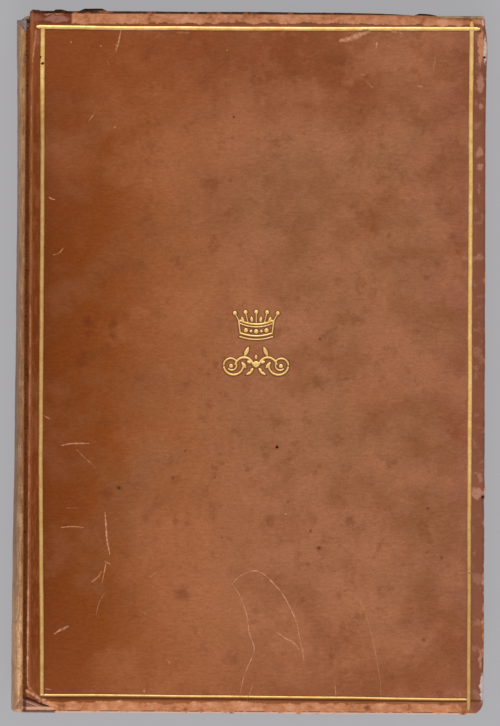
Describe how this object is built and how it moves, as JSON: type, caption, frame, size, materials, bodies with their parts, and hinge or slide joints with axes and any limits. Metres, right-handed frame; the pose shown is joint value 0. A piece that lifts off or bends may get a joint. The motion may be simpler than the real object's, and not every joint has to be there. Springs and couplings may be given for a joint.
{
  "type": "antique leather book",
  "caption": "Closed full-calf octavo book with hinged covers, gilt fillet borders and a worn spine, lying on its back cover.",
  "frame": {"origin": "middle of the closed book's footprint, on the surface it lies on", "axes": "+X from the spine to the fore edge, +Y from the tail to the head, +Z from the back cover up to the front cover"},
  "size_m": [0.1326, 0.1978, 0.0304],
  "materials": {
    "cover_calf": "polished mottled brown calf, rubbed pale at the edges",
    "spine_calf": "tan sunned calf, dry and finely cracked",
    "gold_leaf": "worn gold leaf",
    "leaves": "toned laid paper, trimmed edges",
    "endpaper": "toned plain endpaper",
    "pasteboard": "layered pasteboard",
    "hemp_cord": "frayed hemp set in glue",
    "endband_silk": "faded silk over a cord core",
    "lining_paper": "glued brown lining paper"
  },
  "bodies": {
    "book_block": {"text_block": "leaves", "front_flyleaf": "endpaper", "back_flyleaf": "endpaper", "sewing_cord_1": "hemp_cord", "sewing_cord_2": "hemp_cord", "sewing_cord_3": "hemp_cord", "sewing_cord_4": "hemp_cord", "sewing_cord_5": "hemp_cord", "spine_lining": "lining_paper", "headband": "endband_silk", "tailband": "endband_silk", "spine_leather": "spine_calf"},
    "front_cover": {"front_board": "pasteboard", "front_cord_slips": "hemp_cord", "front_leather": "cover_calf", "front_pastedown": "endpaper", "front_gilt_border": "gold_leaf", "gilt_coronet": "gold_leaf", "gilt_scroll": "gold_leaf"},
    "back_cover": {"back_board": "pasteboard", "back_cord_slips": "hemp_cord", "back_leather": "cover_calf", "back_pastedown": "endpaper", "back_gilt_border": "gold_leaf"}
  },
  "joints": [
    {"name": "front_joint", "type": "hinge", "parent": "book_block", "child": "front_cover", "pos_m": [-0.06292, 0, 0.0302], "axis": [0, -1, 0], "range_deg": [0, 178]},
    {"name": "back_joint", "type": "hinge", "parent": "book_block", "child": "back_cover", "pos_m": [-0.06292, 0, 0.0002], "axis": [0, 1, 0], "range_deg": [0, 178]}
  ]
}
